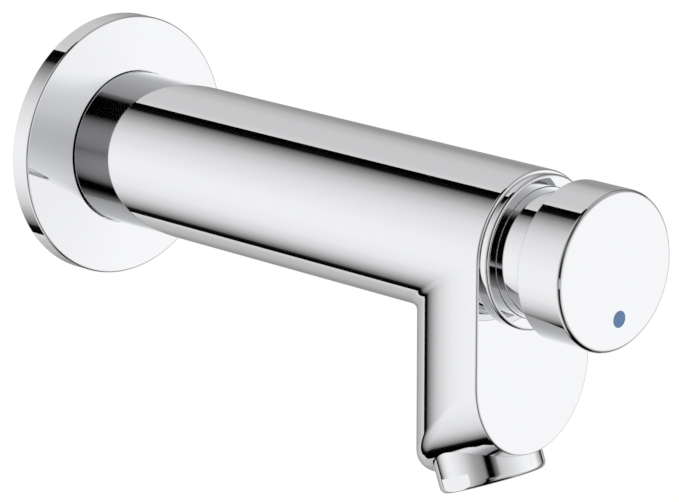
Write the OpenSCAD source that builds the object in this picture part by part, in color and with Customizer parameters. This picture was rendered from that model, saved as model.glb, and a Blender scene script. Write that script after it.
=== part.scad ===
// Wall-mounted push timed tap: chromed tube and spout, push button, timing cartridge, aerator and rosette.
// Millimetres. The wall is the plane Y = 0, the tap stands out along -Y and +Z is up.
// The origin is on the tube's axis at the wall. "Station" means the distance from the wall along that axis.

/* [Tube and spout] */
// Outer radius of the horizontal tube
tube_r = 21; // [20.5:0.1:23]
// Station of the flat front face
reach = 160.4; // [150:0.1:180]
// Station of the tube's rear end, hidden in the rosette
tube_rear = 4; // [3.5:0.1:5]
// Radius of the water chambers in the tube
chamber_r = 17; // [16:0.1:17.5]
// Depth of the spout column behind the front face
column_depth = 33.6; // [33:0.1:38]
// Fullness of the column's plan: 2 is an ellipse, more is squarer
column_power = 2.4; // [2.1:0.1:3]
// Lowest point of the front face, below the tube's axis
spout_drop = 53.6; // [50:0.1:60]
// Slant of the spout's underside and of the aerator
spout_tilt = 22; // [15:0.5:25]
// Radius of the duct from the chamber to the aerator
duct_r = 3.2; // [2.8:0.1:3.3]

/* [Front ring] */
// Outer radius of the ring's rim
ring_r = 20.2; // [19.6:0.1:20.4]
// Thickness of the rim
ring_rim = 2.5; // [1.5:0.1:3]
// Round on the rim's front edge
ring_edge = 1; // [0.4:0.1:1.4]
// Radius of the ring's threaded shank
shank_r = 18.8; // [18.5:0.05:19]
// Length of the shank
shank_len = 20.4; // [20:0.1:24]
// Width of the guide ring in the shank's bore
guide_w = 4; // [3:0.5:5]
// Depth of the guide ring's groove
guide_groove = 0.8; // [0.6:0.05:1]

/* [Push button] */
// Outer radius of the cap
cap_r = 20.8; // [19.5:0.1:22]
// Length of the cap
cap_len = 14.1; // [13:0.1:18]
// Wall of the cap's side
cap_side = 1.8; // [1.5:0.1:2]
// Thickness of the cap's front
cap_front_t = 2.2; // [1.8:0.1:3]
// Round on the cap's front edge
cap_edge = 1.2; // [0.8:0.1:2.2]
// Outer radius of the sleeve behind the cap
sleeve_r = 16.95; // [16.6:0.05:17]
// Wall of the sleeve
sleeve_wall = 1.5; // [1.2:0.1:1.6]
// Length of sleeve that shows between ring and cap
sleeve_shown = 10.8; // [9.5:0.1:12]
// Length of sleeve inside the ring at rest
sleeve_held = 11.2; // [10.5:0.1:11.5]
// Travel of the button
push_travel = 8; // [5:0.5:8]
// Radius of the cold marker
marker_r = 2.2; // [1.5:0.1:3]
// Distance of the marker below the button's centre
marker_drop = 12.5; // [8:0.5:14]
// Distance of the marker to the right of the button's centre
marker_side = 1.5; // [0:0.5:3]
// Depth of the marker's pocket
marker_t = 0.6; // [0.4:0.1:1]

/* [Wall rosette] */
// Outer radius of the rosette
rosette_r = 36.2; // [34:0.1:40]
// Thickness of the rosette's rim
rosette_rim = 5.8; // [5.4:0.1:6.4]
// Rise of the rosette's face from rim to bore
rosette_rise = 1.9; // [1.5:0.1:2.5]
// Chamfer on the rosette's bore
rosette_chamfer = 0.3; // [0.2:0.05:0.9]
// Wall of the rosette
rosette_wall = 2; // [1.5:0.1:2.2]
// Width of the foam ring behind the rosette
foam_w = 3; // [2:0.1:4]

/* [Wall connection] */
// Radius of the inlet thread (half inch pipe thread)
nipple_r = 10.48; // [10.3:0.01:10.6]
// Length of thread behind the wall plane
nipple_tail = 22; // [15:0.5:30]
// Length of thread in the tube
nipple_front = 12; // [10:0.5:15]
// Radius of the water way in the nipple
nipple_bore = 7.5; // [6:0.1:8]
// Width across the flats of the nipple's collar
collar_af = 24; // [23.5:0.5:27]
// Thickness of the nipple's collar
collar_t = 2; // [1.5:0.1:2.4]
// Thickness of the fibre washer in front of the collar
washer_t = 1; // [0.8:0.1:1.2]
// Thickness of the tube's rear wall
rear_wall = 18; // [17:0.5:22]

/* [Timing cartridge] */
// Outer radius of the cartridge barrel
barrel_r = 14.4; // [14.2:0.1:14.6]
// Thickness of the barrel's flange
flange_t = 3; // [2.5:0.1:4]
// Thickness of the gasket under the flange
gasket_t = 1.5; // [1:0.1:2]
// Radius of the dashpot bore
dashpot_r = 11; // [10.5:0.05:11.2]
// Radius of the spindle
spindle_r = 2.5; // [2.3:0.05:2.8]
// Radius of the spindle's threaded ends
thread_r = 2; // [1.6:0.05:2.1]
// Radius of the water way through the valve seat
seat_bore = 6; // [5:0.1:6.5]
// Height of the valve seat's lip
seat_lip = 1; // [0.8:0.1:1.5]
// Radius of the valve washer
valve_r = 9; // [8.6:0.1:10]
// Thickness of the valve washer
valve_t = 3; // [2:0.1:4]
// Radius of the ports in the barrel
port_r = 2.2; // [1.5:0.1:2.2]
// Number of ports
port_n = 6; // [4:1:8]

/* [Return spring] */
// Mean radius of the coil
spring_r = 8.4; // [8:0.1:9]
// Diameter of the wire
wire_d = 1.2; // [0.8:0.1:1.3]
// Number of turns
turns = 4.5; // [3.5:0.5:5.5]

/* [Aerator] */
// Outer radius of the housing
aer_r = 14.1; // [13.8:0.05:14.3]
// Distance of the aerator's axis behind the front face, along the underside
aer_back = 15; // [14.8:0.1:16]
// How far the housing stands out of the underside
aer_out = 4.8; // [3:0.1:6]
// Radius of the housing's thread
aer_thread_r = 12; // [11.5:0.05:12.2]
// Length of the housing's thread
aer_thread = 8; // [6:0.5:9]
// Distance of each spanner flat from the axis
aer_flat = 13.2; // [12.8:0.05:13.4]
// Height of the spanner flats
aer_flat_h = 4; // [3:0.1:5]
// Round on the housing's lower edge
aer_edge = 1.8; // [0.8:0.1:2]

/* [Fits] */
// Radial clearance of a sliding fit
run_gap = 0.07; // [0.04:0.01:0.1]
// Radial clearance of a fixed fit
fit_gap = 0.04; // [0.02:0.01:0.06]
// Section radius of the small sealing rings
ring_sec = 0.75; // [0.65:0.05:0.8]

/* [Hidden] */
$fn = 96;

// Column plan: half a superellipse, as wide as the tube at the front face
plan_steps = 48;
function plan_point(a) = [tube_r * sign(cos(a)) * pow(abs(cos(a)), 2 / column_power),
    column_depth * pow(sin(a), 2 / column_power)];

// Underside: a half cylinder that slants down towards the wall
under_axis_z = spout_drop - tube_r / cos(spout_tilt);
deep = spout_drop + column_depth * tan(spout_tilt) + 2 * tube_r;

// Stations in front of the face
ring_front = reach + ring_rim;
cap_rear = ring_front + sleeve_shown;
cap_front = cap_rear + cap_len;
cap_inside = cap_front - cap_front_t;
cap_in_r = cap_r - cap_side;
ring_bore = sleeve_r + run_gap;
sleeve_in = sleeve_r - sleeve_wall;
sleeve_rear = ring_front - sleeve_held;
sleeve_flange_t = 2.4;
hub_t = 4;
lip_t = 2;
lip_r = 13;
hub_r = 6;
hub_boss = 11.6;
hub_rear = cap_inside - hub_t - hub_boss;
nut_h = 3;
nut_af = 7;

// Stations of the cartridge, counted back from the face
flange_front = reach - shank_len;
flange_rear = flange_front - flange_t;
shoulder = flange_rear - gasket_t;
counter_r = shank_r + fit_gap;
nose_len = 10;
nose_front = flange_front + nose_len;
plug_step = 0.6;
plug_r = dashpot_r + plug_step;
plug_rear = flange_rear;
clip_t = 1.2;
clip_depth = 0.7;
clip_inner = 1.0;
clip_mouth = 2;
clip_recess = 2.8;
plug_front = nose_front - clip_t - clip_recess;
piston_slack = 0.4;
piston_clip_t = 1;
cup_t = 1.6;
piston_t = 4;
spindle_collar_t = 1.5;
spindle_collar_r = 3.5;
piston_front = plug_rear - piston_slack - piston_clip_t - cup_t;
piston_rear = piston_front - piston_t;
cup_mid = piston_front + cup_t / 2;
cup_front = piston_front + cup_t;
cup_lip = 0.8;
cup_floor = 2;
spring_len = 2 * push_travel;
partition_front = piston_rear - spring_len;
partition_t = 5;
partition_rear = partition_front - partition_t;
bush_r = 4.5;
bush_flange_r = 6.3;
bush_flange_t = 1.2;
lip_seal_r = 5.5;
lip_seal_t = 2;
valve_room = 8;
valve_room_r = 9;
seat_t = 5;
seat_r = 10.5;
seat_flange_r = 12.4;
seat_flange_t = 1;
seat_front = partition_rear - valve_room;
barrel_rear = seat_front - seat_t;
seat_face = barrel_rear - seat_flange_t - seat_lip;
seat_lip_w = 1.2;
web_t = 6;
web_rear = barrel_rear + 2;
web_front = web_rear + web_t;
port_edge = 0.4;
port_s = partition_rear - port_r - port_edge;
barrel_ring_s = (web_rear + web_front) / 2;
seat_ring_s = barrel_rear + seat_t / 2;
plug_ring_s = (plug_rear + plug_front) / 2;
disc_t = 2.5;
disc_rim = 0.6;
disc_r = valve_r + fit_gap + disc_rim;
valve_rear = seat_face - valve_t;
disc_rear = valve_rear - disc_t;
nut_rear = disc_rear - nut_h;
thread_proud = 1;
spindle_rear = nut_rear - thread_proud;
screw_off = 7;
screw_r = 1.5;
screw_head_r = 2.4;
screw_head_t = 2;
screw_slot = 0.6;
needle_tip = 0.5;
needle_len = 2.5;

// Stations at the wall
washer_rear = tube_rear - washer_t;
collar_rear = washer_rear - collar_t;
nipple_end = tube_rear + nipple_front;
nipple_chamfer = 1;
chamber_rear = tube_rear + rear_wall;
strainer_r = 8.6;
strainer_t = 2;
strainer_depth = 6;
strainer_wall = 0.8;
strainer_hole = 0.7;
strainer_pitch = 2.2;

// Rosette
rosette_gap = 0.15;
rosette_bore = tube_r + rosette_gap;
rosette_face = rosette_rim + rosette_rise;
rosette_front = rosette_face - rosette_chamfer;
rosette_under = rosette_rim - rosette_wall;
foam_back = 0.1;
rosette_collar = 3;
rosette_ring_sec = 0.8;
rosette_ring_gap = 0.06;
rosette_ring_s = (rosette_under + rosette_front) / 2;
rim_round = 0.6;

// Aerator frame: origin at the centre of the lower rim, local +Z up along the outlet's axis
aer_seat = 7.6;
aer_gap = 0.4;
aer_ridge_z = spout_drop + aer_back * tan(spout_tilt);
aer_s = reach - aer_back + aer_out * sin(spout_tilt);
aer_z = aer_ridge_z + aer_out * cos(spout_tilt);
aer_shoulder = aer_out + aer_seat;
aer_top = aer_shoulder + aer_thread;
aer_gasket_t = 1;
aer_wall = 1.4;
aer_in = aer_thread_r - aer_wall;
aer_lip = 1;
aer_lip_t = 1.2;
screen_t = 2.4;
screen_cell = 1.05;
screen_pitch = 2.5;
regulator_t = 2;
insert_rear = aer_lip_t + screen_t;
insert_front = aer_top - regulator_t;
insert_hole = 0.9;
regulator_hole = 0.8;
hole_ring_r = aer_in - 4;
insert_wall = 1.6;
gasket_w = 2.9;

// Duct: parallel to the outlet's axis, midway between the column's back and the cartridge's shoulder
duct_mid = (reach - column_depth + shoulder) / 2;
duct_off = (aer_s - (aer_z - tube_r) * tan(spout_tilt) - duct_mid) * cos(spout_tilt);
duct_top = (aer_z - barrel_r) / cos(spout_tilt);

// Return spring between the partition and the piston
wire_sides = 6;
coil_rings = 8;
spring_end_gap = 0.1;
spring_rear = partition_front + wire_d / 2 + spring_end_gap;
spring_front = piston_rear - wire_d / 2 - spring_end_gap;
spring_rings = floor(turns * coil_rings);
spring_pitch = (spring_front - spring_rear) / turns;
function coil(t) = [spring_r * cos(360 * t), spring_r * sin(360 * t), spring_rear + t * spring_pitch];
function wire_point(k, j) = let (t = k / coil_rings, c = coil(t), a = 360 * j / wire_sides)
    c + wire_d / 2 * [cos(a) * cos(360 * t), cos(a) * sin(360 * t), sin(a)];
spring_points = [for (k = [0:spring_rings], j = [0:wire_sides - 1]) wire_point(k, j)];
function ring_at(k, j) = k * wire_sides + j % wire_sides;
function wall_faces(k, j) = [
    [ring_at(k, j), ring_at(k + 1, j), ring_at(k + 1, j + 1)],
    [ring_at(k, j), ring_at(k + 1, j + 1), ring_at(k, j + 1)]
];
spring_faces = concat(
    [for (j = [1:wire_sides - 2]) [0, j, j + 1]],
    [for (k = [0:spring_rings - 1], j = [0:wire_sides - 1], face = wall_faces(k, j)) face],
    [for (j = [1:wire_sides - 2])
        [ring_at(spring_rings, 0), ring_at(spring_rings, j + 1), ring_at(spring_rings, j)]]);
spring_gap = min([for (k = [0:spring_rings - coil_rings], m = [coil_rings / 2:coil_rings + 1])
    if (k + m <= spring_rings) norm(coil((k + m) / coil_rings) - coil(k / coil_rings)) - wire_d]);
echo(least_gap_between_spring_turns = spring_gap);

// Gap between a sealing ring and the bore around it
seal_gap = 0.01;

// Colours
chrome = [0.80, 0.81, 0.83];
brass = [0.78, 0.64, 0.34];
steel = [0.66, 0.67, 0.69];
rubber = [0.10, 0.10, 0.11];
acetal = [0.88, 0.88, 0.85];
grey_plastic = [0.45, 0.46, 0.48];
cold_blue = [0.30, 0.44, 0.68];
fibre = [0.55, 0.22, 0.16];
foam = [0.25, 0.25, 0.26];

// Turns the tap's axis to local +Z, so that a local height is a station
module out() rotate([90, 0, 0]) children();

// Solid of revolution about the tap's axis from points [radius, station]
module turned(points) out() rotate_extrude() polygon(points);

// Plain tube about the tap's axis
module tube(outer, inner, s0, s1) turned([[inner, s0], [outer, s0], [outer, s1], [inner, s1]]);

// Rod about the tap's axis
module rod(r, s0, s1) out() translate([0, 0, s0]) cylinder(r = r, h = s1 - s0);

// Sealing ring of round section
module seal(mid_r, s, sec) out() translate([0, 0, s]) rotate_extrude()
    translate([mid_r, 0]) circle(r = sec, $fn = 32);

// Quarter disc that rounds off a chamfered edge at a radius and station
module edge_round(r, s, edge) translate([r - edge, s - edge]) intersection() {
    circle(r = edge);
    square(edge);
}

// Hexagon across flats
module hexagon(af, s0, s1) out() translate([0, 0, s0]) cylinder(r = af / 2 / cos(30), h = s1 - s0, $fn = 6);

// Groove width and depth that hold a sealing ring
function groove_w(sec) = 2 * sec + 0.5;
function groove_d(sec) = 2 * sec - 0.02;

// Aerator frame
module at_aerator() translate([0, -aer_s, -aer_z]) rotate([-spout_tilt, 0, 0]) children();

// Outline of the column in plan, front face on the X axis and depth along +Y
module column_plan() polygon([for (k = [0:plan_steps]) plan_point(180 * k / plan_steps)]);

// Slanting prism with a round underside, tangent to the tube's sides
module under_prism() translate([0, -reach, -under_axis_z]) rotate([-90 - spout_tilt, 0, 0])
    translate([0, 0, -deep]) linear_extrude(height = 3 * deep) {
        circle(r = tube_r);
        translate([-tube_r, -2 * deep]) square([2 * tube_r, 2 * deep]);
    }

module spout_column() intersection() {
    translate([0, -reach, -deep]) linear_extrude(height = deep) column_plan();
    under_prism();
}

module body_casting() color(chrome) difference() {
    union() {
        rod(tube_r, tube_rear, reach);
        spout_column();
    }
    rod(nipple_r + fit_gap, tube_rear - 1, chamber_rear + 1);
    rod(chamber_r, chamber_rear, web_rear);
    rod(barrel_r + fit_gap, web_rear - 1, web_front + 1);
    rod(chamber_r, web_front, shoulder);
    rod(counter_r, shoulder, reach + 1);
    at_aerator() {
        translate([0, 0, -aer_r]) cylinder(r = aer_r + aer_gap, h = aer_r + aer_shoulder);
        cylinder(r = aer_thread_r + fit_gap, h = aer_top + aer_gasket_t);
        translate([0, duct_off, aer_top]) cylinder(r = duct_r, h = duct_top - aer_top);
    }
}

module inlet_nipple() color(brass) difference() {
    union() {
        turned([[0, -nipple_tail], [nipple_r - nipple_chamfer, -nipple_tail],
            [nipple_r, nipple_chamfer - nipple_tail], [nipple_r, nipple_end], [0, nipple_end]]);
        hexagon(collar_af, collar_rear, washer_rear);
    }
    rod(nipple_bore, -nipple_tail - 1, nipple_end + 1);
    rod(strainer_r, nipple_end - strainer_t, nipple_end + 1);
}

module inlet_washer() color(fibre) tube(collar_af / 2, nipple_r + fit_gap, washer_rear, tube_rear);

// Cup of punched sheet with its open mouth towards the tap
module inlet_strainer() color(steel) difference() {
    s0 = nipple_end - strainer_t - strainer_depth;
    turned([[0, s0], [nipple_bore - fit_gap, s0], [nipple_bore - fit_gap, nipple_end - strainer_t],
        [strainer_r - fit_gap, nipple_end - strainer_t], [strainer_r - fit_gap, nipple_end],
        [nipple_bore - strainer_wall, nipple_end], [nipple_bore - strainer_wall, s0 + strainer_wall],
        [0, s0 + strainer_wall]]);
    for (ring = [0:2], k = [0:max(6 * ring, 1) - 1]) out()
        rotate(k * 60 / max(ring, 1)) translate([ring * strainer_pitch, 0, s0 - 1])
            cylinder(r = strainer_hole, h = strainer_wall + 2, $fn = 24);
}

module front_ring() color(chrome) difference() {
    out() rotate_extrude() {
        polygon([[ring_bore, flange_front], [shank_r, flange_front], [shank_r, reach], [ring_r, reach],
            [ring_r, ring_front - ring_edge], [ring_r - ring_edge, ring_front], [ring_bore, ring_front]]);
        edge_round(ring_r, ring_front, ring_edge);
    }
    tube(ring_bore + guide_groove, ring_bore - 1, reach - 2 * guide_w, reach - guide_w);
}

module sleeve_guide_ring() color(acetal)
    tube(ring_bore + guide_groove - fit_gap, ring_bore - run_gap / 3, reach - 2 * guide_w + fit_gap,
        reach - guide_w - fit_gap);

module cartridge_barrel() color(grey_plastic) difference() {
    turned([[0, barrel_rear], [barrel_r, barrel_rear], [barrel_r, flange_rear],
        [shank_r - fit_gap, flange_rear], [shank_r - fit_gap, flange_front], [barrel_r, flange_front],
        [barrel_r, nose_front], [0, nose_front]]);
    rod(seat_r + fit_gap, barrel_rear - 1, seat_front);
    rod(valve_room_r, seat_front - 1, partition_rear);
    rod(lip_seal_r + fit_gap, partition_rear - 1, partition_rear + lip_seal_t);
    rod(bush_r + fit_gap, partition_rear, partition_front + 1);
    rod(dashpot_r, partition_front, flange_rear + 1);
    rod(plug_r + fit_gap, plug_rear, nose_front + 1);
    tube(plug_r + clip_depth, plug_r - 1, plug_front, plug_front + clip_t + fit_gap);
    tube(barrel_r + 1, barrel_r - groove_d(ring_sec), barrel_ring_s - groove_w(ring_sec) / 2,
        barrel_ring_s + groove_w(ring_sec) / 2);
    for (k = [0:port_n - 1]) out() translate([0, 0, port_s]) rotate(k * 360 / port_n)
        rotate([0, 90, 0]) cylinder(r = port_r, h = barrel_r + 1);
}

module flange_gasket() color(rubber) tube(shank_r - fit_gap, chamber_r + fit_gap, shoulder, flange_rear);

module barrel_o_ring() color(rubber) seal(barrel_r + fit_gap - ring_sec - seal_gap, barrel_ring_s, ring_sec);

module valve_seat() color(brass) difference() {
    turned([[seat_bore, seat_face], [seat_bore + seat_lip_w, seat_face],
        [seat_bore + seat_lip_w, seat_face + seat_lip], [seat_flange_r, seat_face + seat_lip],
        [seat_flange_r, barrel_rear], [seat_r, barrel_rear], [seat_r, seat_front], [seat_bore, seat_front]]);
    tube(seat_r + 1, seat_r - groove_d(ring_sec), seat_ring_s - groove_w(ring_sec) / 2,
        seat_ring_s + groove_w(ring_sec) / 2);
}

module seat_o_ring() color(rubber) seal(seat_r + fit_gap - ring_sec - seal_gap, seat_ring_s, ring_sec);

module spindle_guide() color(acetal)
    turned([[spindle_r + run_gap, partition_rear + lip_seal_t], [bush_r, partition_rear + lip_seal_t],
        [bush_r, partition_front], [bush_flange_r, partition_front],
        [bush_flange_r, partition_front + bush_flange_t],
        [spindle_r + run_gap, partition_front + bush_flange_t]]);

module guide_lip_seal() color(rubber)
    tube(lip_seal_r, spindle_r + run_gap / 2, partition_rear, partition_rear + lip_seal_t);

module barrel_plug() color(acetal) difference() {
    rod(plug_r, plug_rear, plug_front);
    rod(spindle_r + run_gap, plug_rear - 1, plug_front + 1);
    tube(plug_r + 1, plug_r - groove_d(ring_sec), plug_ring_s - groove_w(ring_sec) / 2,
        plug_ring_s + groove_w(ring_sec) / 2);
    out() translate([0, screw_off, plug_rear - 1])
        cylinder(r = screw_r + fit_gap, h = plug_front - plug_rear + 2);
}

module plug_o_ring() color(rubber) seal(plug_r + fit_gap - ring_sec - seal_gap, plug_ring_s, ring_sec);

module plug_circlip() color(steel) difference() {
    tube(plug_r + clip_depth - fit_gap, plug_r - clip_inner, plug_front, plug_front + clip_t);
    out() translate([-clip_mouth / 2, -plug_r - 1, plug_front - 1]) cube([clip_mouth, plug_r, clip_t + 2]);
}

module timing_screw() color(brass) out() translate([0, screw_off, 0]) difference() {
    rotate_extrude($fn = 48) polygon([[0, plug_rear + needle_tip],
        [screw_r, plug_rear + needle_tip + needle_len], [screw_r, plug_front], [screw_head_r, plug_front],
        [screw_head_r, plug_front + screw_head_t], [0, plug_front + screw_head_t]]);
    translate([-screw_head_r - 1, -screw_slot / 2, plug_front + screw_head_t / 2])
        cube([2 * screw_head_r + 2, screw_slot, screw_head_t]);
}

module aerator_housing() color(chrome) at_aerator() difference() {
    rotate_extrude() {
        polygon([[aer_in - aer_lip, 0], [aer_r - aer_edge, 0], [aer_r, aer_edge], [aer_r, aer_shoulder],
            [aer_thread_r, aer_shoulder], [aer_thread_r, aer_top], [aer_in, aer_top], [aer_in, aer_lip_t],
            [aer_in - aer_lip, aer_lip_t]]);
        mirror([0, 1]) edge_round(aer_r, 0, aer_edge);
    }
    for (side = [-1, 1]) translate([side * (aer_flat + aer_r) - aer_r, -aer_r, -1])
        cube([2 * aer_r, 2 * aer_r, aer_flat_h + 1]);
}

module aerator_gasket() color(rubber) at_aerator() translate([0, 0, aer_top]) difference() {
    cylinder(r = aer_thread_r - fit_gap, h = aer_gasket_t);
    translate([0, 0, -1]) cylinder(r = aer_thread_r - gasket_w, h = aer_gasket_t + 2);
}

// Jet former: a cup with a perforated floor
module aerator_insert() color(acetal) at_aerator() difference() {
    translate([0, 0, insert_rear]) cylinder(r = aer_in - fit_gap, h = insert_front - insert_rear);
    translate([0, 0, insert_rear - 1])
        cylinder(r = aer_in - insert_wall, h = (insert_front - insert_rear) / 2 + 1);
    for (k = [0:11]) rotate(k * 30) translate([hole_ring_r, 0, insert_rear])
        cylinder(r = insert_hole, h = insert_front, $fn = 24);
}

module flow_regulator() color(grey_plastic) at_aerator() translate([0, 0, insert_front]) difference() {
    cylinder(r = aer_in - fit_gap, h = regulator_t);
    for (k = [0:7]) rotate(k * 45) translate([hole_ring_r, 0, -1])
        cylinder(r = regulator_hole, h = regulator_t + 2, $fn = 24);
}

// Outlet mesh: a disc with round cells in rings
module aerator_screen() color(steel) at_aerator() translate([0, 0, aer_lip_t]) difference() {
    cylinder(r = aer_in - fit_gap, h = screen_t);
    for (ring = [0:3], k = [0:max(6 * ring, 1) - 1]) rotate(k * 60 / max(ring, 1))
        translate([ring * screen_pitch, 0, -1]) cylinder(r = screen_cell, h = screen_t + 2, $fn = 24);
}

// Dish with a conical face and a chamfered bore
module wall_rosette() color(chrome) difference() {
    turned([[rosette_r - rosette_wall, 0], [rosette_r, 0], [rosette_r, rosette_rim - rim_round],
        [rosette_r - rim_round, rosette_rim], [rosette_bore + rosette_chamfer, rosette_face],
        [rosette_bore, rosette_front],
        [rosette_bore, rosette_under], [rosette_bore + rosette_collar, rosette_under],
        [rosette_bore + rosette_collar, rosette_face - rosette_wall],
        [rosette_r - rosette_wall - foam_w, rosette_under], [rosette_r - rosette_wall, rosette_under]]);
    tube(rosette_bore + groove_d(rosette_ring_sec), rosette_bore - 1,
        rosette_ring_s - groove_w(rosette_ring_sec) / 2, rosette_ring_s + groove_w(rosette_ring_sec) / 2);
}

module rosette_o_ring() color(rubber)
    seal(tube_r + rosette_ring_gap + rosette_ring_sec, rosette_ring_s, rosette_ring_sec);

module wall_gasket() color(foam)
    tube(rosette_r - rosette_wall - fit_gap, rosette_r - rosette_wall - foam_w, foam_back, rosette_under);

module button_cap() color(chrome) difference() {
    out() rotate_extrude() {
        polygon([[0, cap_inside], [cap_in_r, cap_inside], [cap_in_r, cap_rear], [cap_r, cap_rear],
            [cap_r, cap_front - cap_edge], [cap_r - cap_edge, cap_front], [0, cap_front]]);
        edge_round(cap_r, cap_front, cap_edge);
    }
    out() translate([marker_side, -marker_drop, cap_front - marker_t])
        cylinder(r = marker_r + fit_gap, h = marker_t + 1);
}

module button_sleeve() color(chrome)
    turned([[sleeve_in, sleeve_rear], [sleeve_r, sleeve_rear], [sleeve_r, cap_inside - sleeve_flange_t],
        [cap_in_r - fit_gap, cap_inside - sleeve_flange_t], [cap_in_r - fit_gap, cap_inside],
        [sleeve_in, cap_inside], [sleeve_in, cap_inside - hub_t], [lip_r, cap_inside - hub_t],
        [lip_r, cap_inside - hub_t - lip_t], [sleeve_in, cap_inside - hub_t - lip_t]]);

module button_hub() color(acetal) difference() {
    turned([[0, hub_rear], [hub_r, hub_rear], [hub_r, cap_inside - hub_t],
        [sleeve_in - fit_gap, cap_inside - hub_t], [sleeve_in - fit_gap, cap_inside], [0, cap_inside]]);
    rod(thread_r + fit_gap, hub_rear - 1, cap_inside - hub_t);
}

module cold_marker() color(cold_blue) out() translate([marker_side, -marker_drop, cap_front - marker_t])
    cylinder(r = marker_r, h = marker_t);

module spindle() color(steel)
    turned([[0, spindle_rear], [thread_r, spindle_rear], [thread_r, seat_face], [spindle_r, seat_face],
        [spindle_r, piston_rear - spindle_collar_t], [spindle_collar_r, piston_rear - spindle_collar_t],
        [spindle_collar_r, piston_rear], [spindle_r, piston_rear], [spindle_r, hub_rear - nut_h],
        [thread_r, hub_rear - nut_h], [thread_r, hub_rear + hub_boss - thread_proud],
        [0, hub_rear + hub_boss - thread_proud]]);

module spindle_nut() color(steel) difference() {
    hexagon(nut_af, hub_rear - nut_h, hub_rear);
    rod(thread_r + fit_gap, hub_rear - nut_h - 1, hub_rear + 1);
}

module piston() color(acetal)
    tube(dashpot_r - run_gap, spindle_r + fit_gap, piston_rear, piston_front);

// Cup seal with a thin lip that leans on the bore
module piston_seal() color(rubber)
    turned([[spindle_r + fit_gap, piston_front], [dashpot_r - cup_floor / 2, piston_front],
        [dashpot_r - run_gap / 2, cup_mid], [dashpot_r - run_gap / 2, cup_front],
        [dashpot_r - cup_lip, cup_front], [dashpot_r - cup_floor, cup_mid],
        [spindle_collar_r + cup_floor, cup_mid],
        [spindle_collar_r + cup_floor, cup_front], [spindle_r + fit_gap, cup_front]]);

module piston_clip() color(steel) difference() {
    tube(spindle_collar_r + 1, spindle_r + fit_gap, cup_front, cup_front + piston_clip_t);
    out() translate([-spindle_r / 2, -2 * spindle_collar_r, cup_front - 1])
        cube([spindle_r, 2 * spindle_collar_r, piston_clip_t + 2]);
}

module valve_disc() color(brass)
    turned([[thread_r + fit_gap, disc_rear], [disc_r, disc_rear], [disc_r, valve_rear + valve_t / 2],
        [disc_r - disc_rim, valve_rear + valve_t / 2], [disc_r - disc_rim, valve_rear],
        [thread_r + fit_gap, valve_rear]]);

module valve_washer() color(rubber) tube(valve_r, thread_r + fit_gap, valve_rear, seat_face);

module valve_nut() color(steel) difference() {
    hexagon(nut_af, nut_rear, disc_rear);
    rod(thread_r + fit_gap, nut_rear - 1, disc_rear + 1);
}

module return_spring() color(steel) out() polyhedron(points = spring_points, faces = spring_faces);

body_casting();
inlet_nipple();
inlet_washer();
inlet_strainer();
front_ring();
sleeve_guide_ring();
cartridge_barrel();
flange_gasket();
barrel_o_ring();
valve_seat();
seat_o_ring();
spindle_guide();
guide_lip_seal();
barrel_plug();
plug_o_ring();
plug_circlip();
timing_screw();
aerator_housing();
aerator_gasket();
aerator_insert();
flow_regulator();
aerator_screen();
wall_rosette();
rosette_o_ring();
wall_gasket();
button_cap();
button_sleeve();
button_hub();
cold_marker();
spindle();
spindle_nut();
piston();
piston_seal();
piston_clip();
valve_disc();
valve_washer();
valve_nut();
return_spring();
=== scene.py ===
import math

import bmesh
import bpy
import numpy as np
from mathutils import Matrix, Vector


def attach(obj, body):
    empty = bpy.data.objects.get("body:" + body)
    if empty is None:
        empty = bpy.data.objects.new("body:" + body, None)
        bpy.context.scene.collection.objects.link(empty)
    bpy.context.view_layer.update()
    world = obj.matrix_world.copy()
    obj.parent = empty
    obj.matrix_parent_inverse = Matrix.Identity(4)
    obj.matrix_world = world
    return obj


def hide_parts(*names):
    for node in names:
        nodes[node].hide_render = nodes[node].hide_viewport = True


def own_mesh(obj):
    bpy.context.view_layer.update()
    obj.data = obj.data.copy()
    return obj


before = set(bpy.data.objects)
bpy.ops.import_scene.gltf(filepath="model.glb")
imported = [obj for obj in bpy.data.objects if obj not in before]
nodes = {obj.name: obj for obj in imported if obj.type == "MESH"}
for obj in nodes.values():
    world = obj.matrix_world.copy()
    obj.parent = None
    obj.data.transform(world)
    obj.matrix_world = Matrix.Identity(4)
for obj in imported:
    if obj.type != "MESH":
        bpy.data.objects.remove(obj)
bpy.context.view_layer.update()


# The inlet nipple is a turned brass tube with a hexagon collar. Its rear thread screws into the
# pipe fitting in the wall, its front thread into the tap, with a red fibre washer between them.
# A cup of punched steel sheet in its mouth keeps grit out of the cartridge.
def material(name, colour, metallic, roughness):
    """A Principled material with its node tree, its shader, and Object coordinates to draw on."""
    made = bpy.data.materials.new(name)
    made.use_nodes = True
    shader = made.node_tree.nodes["Principled BSDF"]
    shader.inputs["Base Color"].default_value = (*colour, 1)
    shader.inputs["Metallic"].default_value = metallic
    shader.inputs["Roughness"].default_value = roughness
    place = made.node_tree.nodes.new("ShaderNodeTexCoord")
    return made, made.node_tree, shader, place.outputs["Object"]


def noise(tree, place, scale, detail=3.0, stretch=(1, 1, 1)):
    """Noise of that many grains to the metre, drawn out along an axis by a low stretch."""
    mapping = tree.nodes.new("ShaderNodeMapping")
    mapping.inputs["Scale"].default_value = stretch
    tree.links.new(place, mapping.inputs["Vector"])
    grain = tree.nodes.new("ShaderNodeTexNoise")
    grain.inputs["Scale"].default_value = scale
    grain.inputs["Detail"].default_value = detail
    tree.links.new(mapping.outputs["Vector"], grain.inputs["Vector"])
    return grain.outputs["Fac"]


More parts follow.
